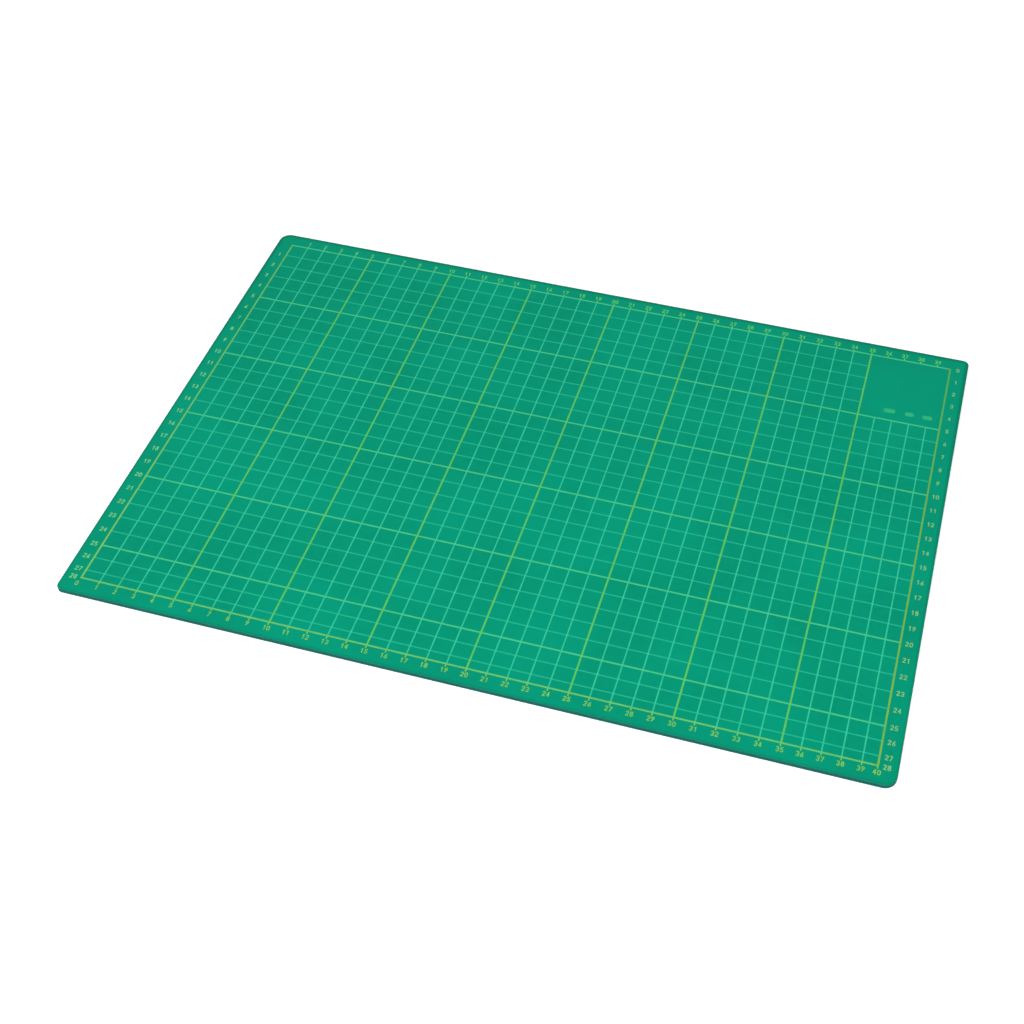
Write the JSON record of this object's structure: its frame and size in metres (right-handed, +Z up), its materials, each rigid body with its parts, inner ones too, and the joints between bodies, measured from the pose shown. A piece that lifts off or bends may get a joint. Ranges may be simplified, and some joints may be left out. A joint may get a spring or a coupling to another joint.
{
  "type": "self healing cutting mat",
  "caption": "Flat laminated self healing cutting mat with rounded corners, a printed centimetre grid inside a frame, edge scales and a blank corner panel.",
  "frame": {"origin": "centre of the underside, on the bench", "axes": "+X along the long side, +Y towards the edge with the top scale, +Z up out of the printed face"},
  "size_m": [0.413, 0.291, 0.003],
  "materials": {
    "healing_pvc": "fine matte grain, soft PVC",
    "underside_pvc": "fine matte grain, soft PVC",
    "rigid_pvc": "plain cut edge",
    "core_pvc": "plain cut edge",
    "teal_ink": "screen printed, satin",
    "lime_ink": "screen printed, satin",
    "pale_ink": "screen printed, satin"
  },
  "bodies": {
    "root": {"top_healing_ply": "healing_pvc", "upper_rigid_ply": "rigid_pvc", "core_ply": "core_pvc", "lower_rigid_ply": "rigid_pvc", "bottom_healing_ply": "underside_pvc", "fine_grid_print": "teal_ink", "major_grid_print": "lime_ink", "border_frame_print": "lime_ink", "top_scale_print": "lime_ink", "bottom_scale_print": "lime_ink", "left_scale_print": "pale_ink", "right_scale_print": "pale_ink", "panel_bars_print": "lime_ink"}
  },
  "joints": []
}
